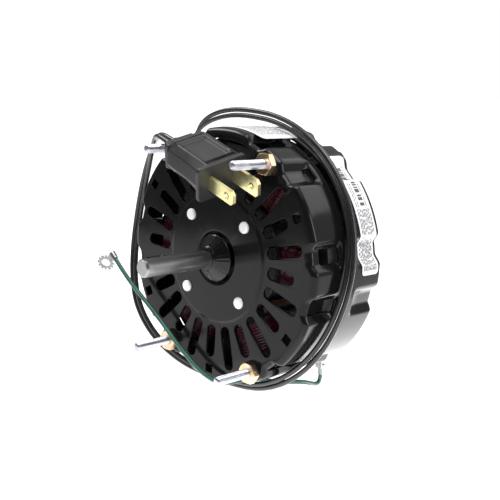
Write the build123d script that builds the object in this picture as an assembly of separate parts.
from build123d import *
from math import cos, degrees, pi, radians, sin, tan
import os

# Shaded-pole blower motor for a boiler's combustion fan, all sizes in millimetres.
# The shaft lies on the Y axis and points to -Y. Z is up. The origin is the centre of the four
# mounting studs, in the plane of their nuts' front faces, where a bracket seats.

# ---- shaft and rotor -----------------------------------------------------------------------
SHAFT_R = 3.97            # 5/16 inch
JOURNAL_R = 3.80
RUNNING_GAP = 0.03
SHAFT_TIP_Y = -38.95      # 1-5/8 inch in front of the boss
SHAFT_END_Y = 43.0
SHAFT_CHAMFER = 0.8
SHAFT_FLAT_DEPTH = 0.45   # a flat for the wheel's set screw, from the tip to the slinger
SLINGER_Y = -3.2
SLINGER_R = 7.9
ROTOR_R = 26.6
CORE_FRONT_Y = 16.4
CORE_BACK_Y = 35.4
END_RING_LENGTH = 1.8
END_RING_INNER_R = 18.0
BAR_R = 1.3
BAR_PITCH = 20

# ---- pressed end bells ---------------------------------------------------------------------
SHEET = 1.2
BELL_R = 57.15            # 4-1/2 inch diameter
FLUTE_R = 54.4
CORNER_R = 1.9
BOSS_Y = 2.4
FACE_Y = 3.2
BOSS_R = 28.55
BOSS_STEP = 0.6
FLUTE_END_Y = 20.4
RIM_Y = 23.9
MID_Y = (CORE_FRONT_Y + CORE_BACK_Y) / 2
HUB_R = 12.0
HUB_THROAT_R = 8.3
HUB_DEPTH = 4.6
STUD_PITCH = 60
TAB_HALF = 5.3            # degrees from a stud's centre line to where its tab starts to slope
FLUTE_SLOPE = 2.3         # degrees taken by each sloping flank
FLUTE_OUTER = 17.3        # degrees from the stud's centre line to the far edge of the flute
LUG_ANGLE = 32            # inward lugs that the stack's front face rests on
LUG_SPAN = 8

# ---- ventilation slots in the faces --------------------------------------------------------
SLOT_PITCH = 15
SLOT_WIDTH = 5.2
SLOT_INNER_R = 31.0
SHORT_SLOT_OUTER_R = 46.0
LONG_SLOT_OUTER_R = 50.6
SQUARE_HOLE = 4.2
SQUARE_HOLE_R = 51.6
VENT_SIDE = 2.6           # degrees left at each side of a vent in its flute
VENT_LONG_Y = 5.6         # where a flute's vent starts; all of them end near the flute's end
VENT_MIDDLE_Y = 9.0
VENT_SHORT_Y = 16.2
# The front bell's vents as (tab's angle, side of the tab, start y).
FRONT_VENTS = [
    (0, 1, VENT_MIDDLE_Y),
    (0, -1, VENT_LONG_Y),
    (60, 1, VENT_LONG_Y),
    (60, -1, VENT_SHORT_Y),
    (120, 1, VENT_SHORT_Y),
    (120, -1, VENT_LONG_Y),
    (180, 1, VENT_SHORT_Y),
    (180, -1, VENT_SHORT_Y),
    (240, 1, VENT_SHORT_Y),
    (240, -1, VENT_SHORT_Y),
    (300, 1, VENT_LONG_Y),
    (300, -1, VENT_MIDDLE_Y),
]
WINDOW_ANGLES = (68, 101)
WINDOW_RADII = (41.0, 52.6)
WINDOW_SLOTS = (75, 90)   # the slots and the square hole that the window takes the place of

# ---- through studs, nuts and rivets --------------------------------------------------------
STUD_X = 26.54
STUD_Z = 45.32
STUD_R = 2.085            # number 8 thread
SHANK_R = 1.90
STUD_TIP_Y = -18.2
STUD_HEAD_R = 4.0
STUD_HEAD = 1.2
STUD_CHAMFER = 0.5
NUT_FLATS = 8.73          # 11/32 inch across flats
NUT_HEIGHT = 3.2
NUT_CHAMFER = 0.55
THREAD_GAP = 0.05
RIVET_CIRCLE_R = 23.56
RIVET_R = 1.5
RIVET_HEAD_R = 2.6
RIVET_HEAD = 1.3

# ---- stator --------------------------------------------------------------------------------
STACK_R = 53.0
YOKE_INNER_R = 43.0
BORE_R = 27.0
POLES = 6
FIRST_POLE = 0            # degrees
POLE_HALF_WIDTH = 6.5
SHOE_OUTER_R = 31.2
SHOE_HALF = 22            # degrees
COIL_INNER_R = 32.0
COIL_OUTER_R = 40.6
COIL_HALF_WIDTH = 11.6
COIL_OVERHANG = 6.6
END_TURN_OUTER_R = 45.0   # the coils swell outwards over the yoke's two faces
LINER = 0.5
STACK_HALF = (CORE_BACK_Y - CORE_FRONT_Y) / 2
SHADING_SLOT = 13.4       # degrees from a pole's centre line to its shading ring's slot
SHADING_SPAN = 2.8
STRAP = 1.2
PROTECTOR_ANGLE = 87
PROTECTOR_R = 46.7

# ---- leads, plug and ground wire -----------------------------------------------------------
LEAD_D = 2.3
LEAD_SPACING = 2.7
# Middle of the pair of leads as (radius, angle, y, twist): the twist turns the pair from lying
# side by side along Y (90) to lying one outside the other (0). Its last stretch is in the plug's
# own frame, straight out of the plug's tail.
LEAD_ROUTE = [
    (58.8, 145, 38.4, 90),
    (65.6, 145, 38.4, 90),
    (69.8, 141, 36.4, 70),
    (71.2, 134.5, 33.6, 45),
    (70.0, 126.5, 31.6, 20),
    (67.6, 117, 30.4, 0),
    (65.3, 108, 30.4, 0),
    (63.0, 98, 30.2, 0),
    (61.9, 86, 29.5, 0),
    (61.2, 72, 28.5, 0),
    (60.9, 57, 27.6, 0),
    (60.8, 41, 26.6, 0),
    (60.8, 25, 25.2, 0),
    (60.8, 9, 22.6, 0),
    (60.9, -7, 19.4, 0),
    (60.9, -23, 17.0, 10),
    (60.8, -39, 15.8, 20),
    (60.7, -55, 15.8, 30),
    (61.0, -71, 16.2, 35),
    (60.6, -87, 16.0, 35),
    (60.9, -102, 13.2, 30),
    (62.4, -116, 8.8, 20),
    (63.5, -131, 5.2, 10),
    (63.7, -146, 3.4, 0),
    (62.2, -160, 4.4, 0),
    (61.3, -174, 6.4, 0),
    (61.4, 172, 7.8, 0),
    (61.6, 159, 7.0, 0),
    (61.5, 147, 4.4, 10),
    (61.1, 137.5, 0.8, 30),
    (60.9, 129.5, -3.0, 55),
    (60.2, 122.2, -6.6, 80),
]
LEAD_TAIL = 7.0           # length of each lead that runs straight out of the plug
LEAD_TAIL_UP = 0.9
GROMMET_ANGLE = 145
GROMMET_Y = 38.4
GROMMET_HOLE_R = 3.6
GROMMET_FLANGE_R = 4.4

PLUG_ORIGIN = (15.6, -11.5, 38.4)      # middle of the face that the blades stand on
PLUG_FORWARD = (0.962, -0.058, -0.266)
PLUG_UP = (0.237, -0.307, 0.922)
PLUG_LENGTH = 33.0
PLUG_FLANGE = (2.0, 24.6, 15.6)        # thickness, width, height
BLADE_SPACING = 12.7
BLADE_LENGTH = 16.0
BLADE_ROOT = 8.0
BLADE_THICKNESS = 1.5
LINE_BLADE_WIDTH = 6.35
NEUTRAL_BLADE_WIDTH = 7.9
BLADE_HOLE_R = 1.6
BLADE_HOLE_AT = 11.7

GROUND_D = 2.1
GROUND_ROUTE = [
    (27.3, 50.3, -55.6),
    (27.3, 50.3, -59.4),
    (26.8, 48.1, -60.8),
    (26.7, 43.0, -58.8),
    (26.9, 36.5, -56.9),
    (25.4, 29.6, -56.0),
    (21.8, 23.8, -55.8),
    (18.8, 17.4, -54.0),
    (18.0, 11.0, -52.8),
    (16.6, 4.0, -53.3),
    (11.2, -0.9, -54.4),
    (5.0, -1.4, -53.6),
    (-1.4, -1.4, -52.0),
    (-8.8, -1.5, -48.5),
    (-17.4, -1.6, -43.8),
    (-27.6, -1.9, -36.8),
    (-37.6, -2.3, -30.7),
    (-47.4, -2.8, -24.9),
    (-55.4, -3.4, -19.4),
    (-62.4, -4.0, -13.2),
]
LUG_THICKNESS = 0.8
LUG_HOLE_R = 2.15
LUG_RING_R = 4.2
BARREL_R = 1.65
BARREL_LENGTH = 4.6
FREE_RING_AWAY = (-0.62, -0.1, -0.78)  # from the loose end's barrel to the middle of its ring
FREE_RING_NORMAL = (0.55, -0.75, -0.34)
FREE_RING_REACH = 6.6

LABEL_ANGLES = (1.5, 57)
LABEL_Y = (33.2, 43.6)
LABEL_THICKNESS = 0.25


def on_face(y):
    """Sketch plane across the shaft at y, with local X along X and local Y along Z."""
    return Plane.XZ.offset(-y)


def slab(sketch, y0, y1):
    """A flat sketch drawn in X and Z, made solid from y0 back to y1."""
    return extrude(on_face(y0) * sketch, amount=y0 - y1)


def disc(radius, y0, y1):
    return slab(Circle(radius), y0, y1)


def tube(outer, inner, y0, y1):
    return disc(outer, y0, y1) - disc(inner, y0, y1)


def turned(points):
    """A solid of revolution about the shaft from its (radius, y) outline."""
    return revolve(make_face(Polyline(*points, close=True)), Axis.Y)


def polar(radius, angle):
    return (radius * cos(radians(angle)), radius * sin(radians(angle)))


def arc(radius, start, end):
    middle = (start + end) / 2
    return ThreePointArc(polar(radius, start), polar(radius, middle), polar(radius, end))


def sector(outer, inner, start, end):
    """A flat ring sector between two angles in degrees."""
    edges = [
        arc(outer, start, end),
        Line(polar(outer, end), polar(inner, end)),
        arc(inner, end, start),
        Line(polar(inner, start), polar(outer, start)),
    ]
    return make_face(edges)


def fluted_outline(inset):
    """Cross-section of a bell's fluted wall, drawn inset from its outer surface."""
    outer = BELL_R - inset
    floor = FLUTE_R - inset
    lean = degrees(inset / BELL_R) * 0.6
    marks = []
    for stud in range(0, 360, STUD_PITCH):
        for side in (-1, 1):
            near = TAB_HALF - lean
            far = FLUTE_OUTER + lean
            stops = [
                (outer, near),
                (floor, near + FLUTE_SLOPE),
                (floor, far - FLUTE_SLOPE),
                (outer, far),
            ]
            if side < 0:
                stops.reverse()
            marks += [(radius, stud + side * angle) for radius, angle in stops]
    edges = []
    for index, (radius, angle) in enumerate(marks):
        next_radius, next_angle = marks[(index + 1) % len(marks)]
        if next_angle < angle:
            next_angle += 360
        if radius == next_radius:
            edges.append(arc(radius, angle, next_angle))
        else:
            edges.append(Line(polar(radius, angle), polar(next_radius, next_angle)))
    return make_face(edges)


def front_edges(shape, y):
    """Outer edges of a shape's face at y."""
    face = shape.faces().filter_by(Plane.XZ).group_by(Axis.Y)[0].sort_by(SortBy.AREA)[-1]
    return face.outer_wire().edges()


def cup(inset, corner):
    """The space inside a bell's wall, or the bell's own outside where inset is 0."""
    front = FACE_Y + inset
    body = slab(fluted_outline(inset), front, FLUTE_END_Y + inset)
    body = fillet(front_edges(body, front), corner)
    past_rim = 1.0 if inset else 0.0
    return body + disc(BELL_R - inset, FLUTE_END_Y + inset, RIM_Y + past_rim)


def slot_holes(skip):
    """The ring of radial slots, long and short in turn."""
    holes = []
    for index in range(360 // SLOT_PITCH):
        angle = index * SLOT_PITCH
        if angle in skip:
            continue
        outer = LONG_SLOT_OUTER_R if index % 2 else SHORT_SLOT_OUTER_R
        middle = (outer + SLOT_INNER_R) / 2
        reach = outer - SLOT_INNER_R - SLOT_WIDTH
        holes.append(Rot(0, 0, angle) * Pos(middle, 0) * SlotCenterToCenter(reach, SLOT_WIDTH))
    return holes


def square_holes(skip):
    return [
        Rot(0, 0, angle) * Pos(SQUARE_HOLE_R, 0) * Rectangle(SQUARE_HOLE, SQUARE_HOLE)
        for angle in range(30, 360, STUD_PITCH)
        if angle not in skip
    ]


def stud_places():
    return [Pos(x, z) for x in (STUD_X, -STUD_X) for z in (STUD_Z, -STUD_Z)]


def rivet_places():
    return [Pos(*polar(RIVET_CIRCLE_R, angle)) for angle in range(45, 360, 90)]


def bell(vents, window):
    """A pressed bell, open to the back; vents gives each flute's (stud, side, start y)."""
    shell = cup(0, CORNER_R) - cup(SHEET, CORNER_R - SHEET)
    centre = turned(
        [
            (HUB_THROAT_R, BOSS_Y + HUB_DEPTH),
            (HUB_R, BOSS_Y),
            (BOSS_R, BOSS_Y),
            (BOSS_R + BOSS_STEP, FACE_Y),
            (BOSS_R + BOSS_STEP, FACE_Y + SHEET),
            (BOSS_R - BOSS_STEP, BOSS_Y + SHEET),
            (HUB_R + BOSS_STEP, BOSS_Y + SHEET),
            (HUB_THROAT_R + 0.94, BOSS_Y + HUB_DEPTH + 0.75),
        ]
    )
    shell = shell - disc(BOSS_R + BOSS_STEP, FACE_Y - 1, FACE_Y + SHEET + 1) + centre
    skip = WINDOW_SLOTS if window else ()
    holes = slot_holes(skip) + square_holes(skip)
    holes += [place * Circle(STUD_R + 0.25) for place in stud_places()]
    holes += [place * Circle(RIVET_R + 0.05) for place in rivet_places()]
    cuts = [slab(hole, BOSS_Y - 1, FACE_Y + SHEET + 1) for hole in holes]
    if window:
        opening = sector(WINDOW_RADII[1], WINDOW_RADII[0], *WINDOW_ANGLES)
        opening = fillet(opening.vertices(), 2.5)
        cuts.append(slab(opening, BOSS_Y - 1, FACE_Y + SHEET + 1))
    for stud, side, start in vents:
        ends = (TAB_HALF + VENT_SIDE, FLUTE_OUTER - VENT_SIDE)
        limits = sorted(stud + side * angle for angle in ends)
        cuts.append(slab(sector(BELL_R, STACK_R - 3, *limits), start, FLUTE_END_Y - 0.4))
    shell = shell - cuts
    lugs = []
    for angle in range(LUG_ANGLE, 360, STUD_PITCH):
        lug = sector(BELL_R - SHEET / 2, STACK_R - 2, angle, angle + LUG_SPAN)
        lugs.append(slab(lug, CORE_FRONT_Y - SHEET, CORE_FRONT_Y))
    return shell + lugs


def flip(shape):
    """The same piece at the motor's other end."""
    return mirror(shape, about=on_face(MID_Y))


def radial_plane(angle, y, radius):
    """Sketch plane touching a cylinder about the shaft, facing outwards, local X along Y."""
    x, z = polar(radius, angle)
    out = (cos(radians(angle)), 0, sin(radians(angle)))
    return Plane(origin=(x, y, z), x_dir=(0, 1, 0), z_dir=out)


def make_front_bell():
    return bell(FRONT_VENTS, window=True)


def make_rear_bell():
    shell = flip(bell([], window=False))
    plane = radial_plane(GROMMET_ANGLE, GROMMET_Y, BELL_R - 4)
    return shell - extrude(plane * Circle(GROMMET_HOLE_R), amount=8)


def make_retainer(closed):
    """The riveted cup behind a boss that holds the bearing; closed over the end at the rear."""
    cone = (HUB_THROAT_R + 1.02, BOSS_Y + HUB_DEPTH + 0.85)
    cup_back = BOSS_Y + 13.0
    outline = [
        (BOSS_R - 1.5, BOSS_Y + SHEET),
        (HUB_R + 0.7, BOSS_Y + SHEET),
        cone,
        (8.0, cone[1]),
        (8.0, cup_back - 1.0),
        (6.2, cup_back - 1.0),
        (6.2, cup_back),
        (9.2, cup_back),
        (9.2, cone[1] + 1.9),
        (HUB_R + 1.8, BOSS_Y + SHEET + 1.0),
        (BOSS_R - 1.5, BOSS_Y + SHEET + 1.0),
    ]
    retainer = turned(outline)
    for place in rivet_places():
        retainer -= slab(place * Circle(RIVET_R + 0.05), BOSS_Y, BOSS_Y + 3)
    if closed:
        retainer += disc(8.0, cone[1] - 1.0, cone[1]) + tube(8.2, 7.0, cone[1] - 1.0, cone[1] + 0.2)
    return retainer


def make_rivets():
    """Four round-headed rivets with their clinched tails."""
    rivets = []
    for place in rivet_places():
        head = slab(place * Circle(RIVET_HEAD_R), BOSS_Y - RIVET_HEAD, BOSS_Y)
        head = fillet(head.edges().group_by(Axis.Y)[0], RIVET_HEAD * 0.8)
        shank = slab(place * Circle(RIVET_R), BOSS_Y, BOSS_Y + 2.2)
        tail = slab(place * Circle(RIVET_R + 0.7), BOSS_Y + 2.2, BOSS_Y + 3.2)
        rivets.append(head + shank + tail)
    return Compound(children=rivets)


def make_bearing():
    back = BOSS_Y + 12.0
    return tube(6.4, JOURNAL_R + RUNNING_GAP, back - 6.0, back)


def make_wick():
    back = BOSS_Y + 12.0
    return tube(8.0, 6.4, back - 5.4, back - 0.4)


def make_shaft():
    outline = [
        (0, SHAFT_TIP_Y),
        (SHAFT_R - SHAFT_CHAMFER, SHAFT_TIP_Y),
        (SHAFT_R, SHAFT_TIP_Y + SHAFT_CHAMFER),
        (SHAFT_R, SLINGER_Y),
        (JOURNAL_R, SLINGER_Y),
        (JOURNAL_R, SHAFT_END_Y - SHAFT_CHAMFER),
        (JOURNAL_R - SHAFT_CHAMFER, SHAFT_END_Y),
        (0, SHAFT_END_Y),
    ]
    shaft = turned(outline)
    flat = Rectangle(3 * SHAFT_R, SHAFT_FLAT_DEPTH * 2)
    return shaft - slab(Pos(0, SHAFT_R) * flat, SHAFT_TIP_Y - 1, SLINGER_Y)


def make_slinger():
    """Rubber oil slinger, a cone that fills the mouth of the hub and turns with the shaft."""
    back = BOSS_Y + 3.4
    return turned(
        [
            (JOURNAL_R, SLINGER_Y),
            (5.2, SLINGER_Y),
            (5.8, SLINGER_Y + 0.5),
            (SLINGER_R, BOSS_Y + 1.4),
            (SLINGER_R, back),
            (JOURNAL_R, back),
        ]
    )


def make_collars():
    """Thrust washers between the rotor and each bearing."""
    front = tube(6.0, JOURNAL_R, BOSS_Y + 12.3, CORE_FRONT_Y)
    return Compound(children=[front, flip(front)])


def cage_bars():
    bar = Pos(ROTOR_R - 3.0, 0) * Circle(BAR_R)
    return [
        slab(Rot(0, 0, angle) * bar, CORE_FRONT_Y, CORE_BACK_Y)
        for angle in range(0, 360, BAR_PITCH)
    ]


def make_rotor_core():
    return tube(ROTOR_R, JOURNAL_R, CORE_FRONT_Y, CORE_BACK_Y) - cage_bars()


def make_rotor_cage():
    """Cast cage: an end ring at each end joined by bars through the core."""
    ring = tube(ROTOR_R - 0.6, END_RING_INNER_R, CORE_FRONT_Y - END_RING_LENGTH, CORE_FRONT_Y)
    return ring + flip(ring) + cage_bars()


def pole_angles():
    return [FIRST_POLE + index * 360 // POLES for index in range(POLES)]


def make_stack():
    """Stator laminations: yoke, six poles with shoes, and notches for the studs."""
    section = Circle(STACK_R) - Circle(YOKE_INNER_R)
    for angle in pole_angles():
        length = YOKE_INNER_R - SHOE_OUTER_R + 3
        middle = SHOE_OUTER_R - 1 + length / 2
        pole = Rot(0, 0, angle) * Pos(middle, 0) * Rectangle(length, 2 * POLE_HALF_WIDTH)
        shoe = sector(SHOE_OUTER_R, BORE_R, angle - SHOE_HALF, angle + SHOE_HALF)
        section = section + pole + shoe
        slot = angle + SHADING_SLOT
        section -= sector(SHOE_OUTER_R - 0.7, BORE_R + 0.9, slot, slot + SHADING_SPAN + 0.4)
    for place in stud_places():
        section -= place * Circle(STUD_R + 0.25)
    return slab(section, CORE_FRONT_Y, CORE_BACK_Y)


def make_shading_ring(angle):
    """One short-circuited copper ring round the trailing tip of a pole shoe."""
    outer = SHOE_OUTER_R - 0.8
    inner = BORE_R + 1.0
    start = angle + SHADING_SLOT + 0.2
    tip = angle + SHOE_HALF
    slot_bar = sector(outer, inner, start, start + SHADING_SPAN)
    tip_bar = sector(outer, inner, tip + 0.2, tip + SHADING_SPAN)
    strap = sector(outer, inner, start, tip + SHADING_SPAN)
    ring = slab(slot_bar, CORE_FRONT_Y, CORE_BACK_Y) + slab(tip_bar, CORE_FRONT_Y, CORE_BACK_Y)
    front = slab(strap, CORE_FRONT_Y - STRAP, CORE_FRONT_Y)
    return ring + front + slab(strap, CORE_BACK_Y, CORE_BACK_Y + STRAP)


def pole_block(angle, half_width, inner, outer, overhang):
    block = Rot(0, 0, angle) * Pos((inner + outer) / 2, 0) * Rectangle(outer - inner, 2 * half_width)
    return slab(block, CORE_FRONT_Y - overhang, CORE_BACK_Y + overhang)


def make_liner(angle):
    """Insulating sleeve between a pole and its coil."""
    outside = pole_block(angle, POLE_HALF_WIDTH + LINER, COIL_INNER_R - 0.5, COIL_OUTER_R + 0.1, LINER)
    return outside - pole_block(angle, POLE_HALF_WIDTH, BORE_R - 2, STACK_R - 3, 0)


def make_coil(angle):
    """One coil round its pole, its end turns swelling outwards over the yoke."""
    coil = pole_block(angle, COIL_HALF_WIDTH, COIL_INNER_R, COIL_OUTER_R, COIL_OVERHANG)
    swell = pole_block(angle, COIL_HALF_WIDTH, COIL_OUTER_R - 1, END_TURN_OUTER_R, COIL_OVERHANG)
    coil += swell - pole_block(angle, COIL_HALF_WIDTH + 1, COIL_OUTER_R - 1, STACK_R, 0.4)
    out = Vector(cos(radians(angle)), 0, sin(radians(angle)))
    corners = [
        edge
        for edge in coil.edges()
        if abs((edge % 0.5).dot(out)) > 0.99 and abs(edge.center().Y - MID_Y) > STACK_HALF + 3
    ]
    coil = fillet(corners, 4.5)
    return coil - pole_block(angle, POLE_HALF_WIDTH + LINER, BORE_R - 2, STACK_R - 3, LINER)


def make_protector():
    """Thermal cut-out strapped in front of the yoke, beside the lead window."""
    case = Rot(0, 0, PROTECTOR_ANGLE) * Pos(PROTECTOR_R, 0) * Rectangle(6.5, 15)
    block = slab(case, CORE_FRONT_Y - 6.5, CORE_FRONT_Y - 0.2)
    return fillet(block.edges().filter_by(Axis.Y), 1.2)


def hexagon(x, z, y0):
    """A chamfered hexagon nut on a stud's shank, its front face at y0."""
    inner = NUT_FLATS / 2 - 0.1
    outer = NUT_FLATS / 2 + 0.9
    back = y0 + NUT_HEIGHT
    chamfered = turned(
        [
            (0, y0),
            (inner, y0),
            (outer, y0 + NUT_CHAMFER),
            (outer, back - NUT_CHAMFER),
            (inner, back),
            (0, back),
        ]
    )
    flats = RegularPolygon(NUT_FLATS / 2, 6, major_radius=False)
    nut = slab(Pos(x, z) * flats, y0, back) & (Pos(x, 0, z) * chamfered)
    return nut - slab(Pos(x, z) * Circle(SHANK_R + THREAD_GAP), y0 - 1, y0 + NUT_HEIGHT + 1)


def stud_centres():
    return [(x, z) for x in (STUD_X, -STUD_X) for z in (STUD_Z, -STUD_Z)]


def make_studs():
    """Through studs: threaded in front, with a low round head on the rear bell."""
    back = 2 * MID_Y - FACE_Y
    studs = []
    for x, z in stud_centres():
        seat = back + (LUG_THICKNESS if (x, z) == (STUD_X, -STUD_Z) else 0.0)
        outline = [
            (0, STUD_TIP_Y),
            (STUD_R - STUD_CHAMFER, STUD_TIP_Y),
            (STUD_R, STUD_TIP_Y + STUD_CHAMFER),
            (STUD_R, 0.0),
            (SHANK_R, 0.0),
            (SHANK_R, seat),
            (STUD_HEAD_R, seat),
            (STUD_HEAD_R - STUD_CHAMFER, seat + STUD_HEAD),
            (0, seat + STUD_HEAD),
        ]
        studs.append(Pos(x, 0, z) * turned(outline))
    return Compound(children=studs)


def make_front_nuts():
    return Compound(children=[hexagon(x, z, 0.0) for x, z in stud_centres()])


# ---- cords ---------------------------------------------------------------------------------
def corner_radii(points):
    """The largest arc that each corner's two runs allow."""
    radii = []
    for before, here, after in zip(points, points[1:], points[2:]):
        first, second = here - before, after - here
        turn = radians(first.get_angle(second))
        radii.append(0.45 * min(first.length, second.length) / tan(turn / 2))
    return radii


def cord_tube(name, points, diameter):
    """A round tube along straight runs joined by tangent arcs."""
    points = [Vector(*point) for point in points]
    radii = corner_radii(points)
    path = FilletPolyline(*points, radius=radii)
    start = Plane(origin=path @ 0, z_dir=path % 0)
    solid = sweep(start * Circle(diameter / 2), path=path)
    expected = pi * diameter**2 / 4 * path.length
    print(name, "length", round(path.length, 1), "tightest radius", round(min(radii), 1),
          "volume ratio", round(solid.volume / expected, 4))
    return solid


def lead_points(side):
    """One of the two leads, offset from the middle of the pair."""
    points = []
    for radius, angle, y, twist in LEAD_ROUTE:
        shift = side * LEAD_SPACING / 2
        x, z = polar(radius + shift * cos(radians(twist)), angle)
        points.append((x, y + shift * sin(radians(twist)), z))
    tail = Vector(-PLUG_LENGTH, side * LEAD_SPACING / 2, LEAD_TAIL_UP)
    for back in (LEAD_TAIL, 0):
        points.append(tuple(plug_plane().from_local_coords(tail - Vector(back, 0, 0))))
    return points


def make_grommet():
    """Rubber bush in the rear bell's wall, with one hole for each lead."""
    def ring(radius, inner, outer):
        return extrude(radial_plane(GROMMET_ANGLE, GROMMET_Y, inner) * Circle(radius), amount=outer - inner)

    bush = ring(GROMMET_HOLE_R - 0.05, BELL_R - 2.6, BELL_R + 0.4)
    bush += ring(GROMMET_FLANGE_R, BELL_R + 0.05, LEAD_ROUTE[0][0])
    bush += ring(GROMMET_FLANGE_R - 0.2, BELL_R - 3.0, BELL_R - 1.7)
    for side in (-1, 1):
        plane = radial_plane(GROMMET_ANGLE, GROMMET_Y + side * LEAD_SPACING / 2, BELL_R - 5)
        bush -= extrude(plane * Circle(LEAD_D / 2), amount=5.5)
    return bush


# ---- plug ----------------------------------------------------------------------------------
def plug_plane():
    return Plane(origin=PLUG_ORIGIN, x_dir=PLUG_FORWARD, z_dir=PLUG_UP)


def plug_blade(side, width, start):
    """A blade with its hole, in the plug's own frame, from start to its tip."""
    length = BLADE_LENGTH - start
    blade = Pos(start + length / 2, side * BLADE_SPACING / 2, 0) * Box(length, BLADE_THICKNESS, width)
    tips = blade.edges().filter_by(Axis.Y).group_by(Axis.X)[-1]
    blade = chamfer(tips, 1.4)
    hole = Cylinder(BLADE_HOLE_R, 4, rotation=(90, 0, 0))
    return blade - Pos(BLADE_HOLE_AT, side * BLADE_SPACING / 2, 0) * hole


def make_blade(side, width):
    return plug_plane().location * plug_blade(side, width, -BLADE_ROOT)


def make_plug():
    """Moulded plug body: flange, eight-sided grip with a raised panel, and a stepped tail."""
    thick, wide, high = PLUG_FLANGE
    flange = Pos(-thick / 2, 0, 0) * Box(thick, wide, high)
    flange = fillet(flange.edges().filter_by(Axis.X), 2.0)
    grip_points = [
        (-6.8, 7.2),
        (8.6, 7.8),
        (12.0, 5.4),
        (12.0, -1.5),
        (9.4, -6.4),
        (-8.8, -6.4),
        (-11.4, -1.5),
        (-10.4, 4.8),
    ]
    outline = fillet(make_face(Polyline(*grip_points, close=True)).vertices(), 1.2)
    grip = extrude(Plane(origin=(-thick, 0, 0), x_dir=(0, 1, 0), z_dir=(1, 0, 0)) * outline, amount=-24)
    panel = Pos(-14, 0, 7.4) * Box(21, 12.4, 0.8)
    tail = Pos(-27.5, 0, 0.2) * Box(4, 18, 11)
    tail += Pos(-31, 0, 0.4) * Box(PLUG_LENGTH - 29, 13, 8.6)
    body = flange + grip + panel + tail
    for side, width in ((-1, LINE_BLADE_WIDTH), (1, NEUTRAL_BLADE_WIDTH)):
        body -= Pos(-BLADE_ROOT / 2, side * BLADE_SPACING / 2, 0) * Box(BLADE_ROOT, BLADE_THICKNESS, width)
    return plug_plane().location * body


# ---- ground wire's ends --------------------------------------------------------------------
def make_rear_lug():
    """Ring terminal clamped under the lower right rear nut, its barrel pointing down."""
    back = 2 * MID_Y - FACE_Y
    x, y, z = GROUND_ROUTE[0]
    ring = slab(Pos(STUD_X, -STUD_Z) * Circle(LUG_RING_R), back, back + LUG_THICKNESS)
    tongue_length = 6.0
    tongue = Pos(STUD_X + 0.3, -STUD_Z - tongue_length / 2 - 1.5) * Rectangle(3.4, tongue_length)
    hole = slab(Pos(STUD_X, -STUD_Z) * Circle(LUG_HOLE_R), back - 1, back + 2)
    barrel = Pos(x, y, z + BARREL_LENGTH / 2) * Cylinder(BARREL_R, BARREL_LENGTH)
    return ring + slab(tongue, back, back + LUG_THICKNESS) + barrel - hole


def make_free_lug():
    """Toothed ring terminal crimped on the ground wire's loose end, its ring bent down."""
    end = Vector(*GROUND_ROUTE[-1])
    along = (end - Vector(*GROUND_ROUTE[-2])).normalized()
    barrel = extrude(Plane(origin=end, z_dir=along) * Circle(BARREL_R), amount=BARREL_LENGTH - 1)
    neck = end + along * (BARREL_LENGTH - 1.6)
    plane = Plane(origin=neck, x_dir=FREE_RING_AWAY, z_dir=FREE_RING_NORMAL)
    reach = FREE_RING_REACH
    ring = Pos(reach, 0) * Circle(LUG_RING_R - 0.9)
    for angle in range(0, 360, 30):
        ring += Pos(reach, 0) * Rot(0, 0, angle) * Pos(LUG_RING_R - 0.7, 0) * Rectangle(1.4, 1.0)
    ring += Pos(reach / 2 - 1.0, 0) * Rectangle(reach - 1.0, 2.4)
    ring -= Pos(reach, 0) * Circle(LUG_HOLE_R)
    return barrel + extrude(plane * ring, amount=LUG_THICKNESS / 2, both=True)


def make_label():
    """Blank rating label wrapped round the rear bell."""
    sheet = sector(BELL_R + 0.05 + LABEL_THICKNESS, BELL_R + 0.05, *LABEL_ANGLES)
    return slab(sheet, *LABEL_Y)


def build():
    parts = {
        "front_bell": make_front_bell(),
        "rear_bell": make_rear_bell(),
        "front_bearing_retainer": make_retainer(closed=False),
        "rear_bearing_cap": flip(make_retainer(closed=True)),
        "front_rivets": make_rivets(),
        "rear_rivets": flip(make_rivets()),
        "front_bearing": make_bearing(),
        "rear_bearing": flip(make_bearing()),
        "front_oil_wick": make_wick(),
        "rear_oil_wick": flip(make_wick()),
        "shaft": make_shaft(),
        "oil_slinger": make_slinger(),
        "thrust_washers": make_collars(),
        "rotor_core": make_rotor_core(),
        "rotor_cage": make_rotor_cage(),
        "stator_stack": make_stack(),
        "thermal_protector": make_protector(),
        "through_studs": make_studs(),
        "front_nuts": make_front_nuts(),
        "lead_grommet": make_grommet(),
        "lead_inner": cord_tube("lead_inner", lead_points(-1), LEAD_D),
        "lead_outer": cord_tube("lead_outer", lead_points(1), LEAD_D),
        "plug_body": make_plug(),
        "line_blade": make_blade(-1, LINE_BLADE_WIDTH),
        "neutral_blade": make_blade(1, NEUTRAL_BLADE_WIDTH),
        "ground_wire": cord_tube("ground_wire", GROUND_ROUTE, GROUND_D),
        "ground_rear_lug": make_rear_lug(),
        "ground_free_lug": make_free_lug(),
        "rating_label": make_label(),
    }
    for index, angle in enumerate(pole_angles(), start=1):
        parts[f"coil_{index}"] = make_coil(angle)
        parts[f"coil_liner_{index}"] = make_liner(angle)
        parts[f"shading_ring_{index}"] = make_shading_ring(angle)
    return parts


os.makedirs("parts", exist_ok=True)
for node, shape in build().items():
    shape.label = node
    export_step(shape, f"parts/{node}.step")
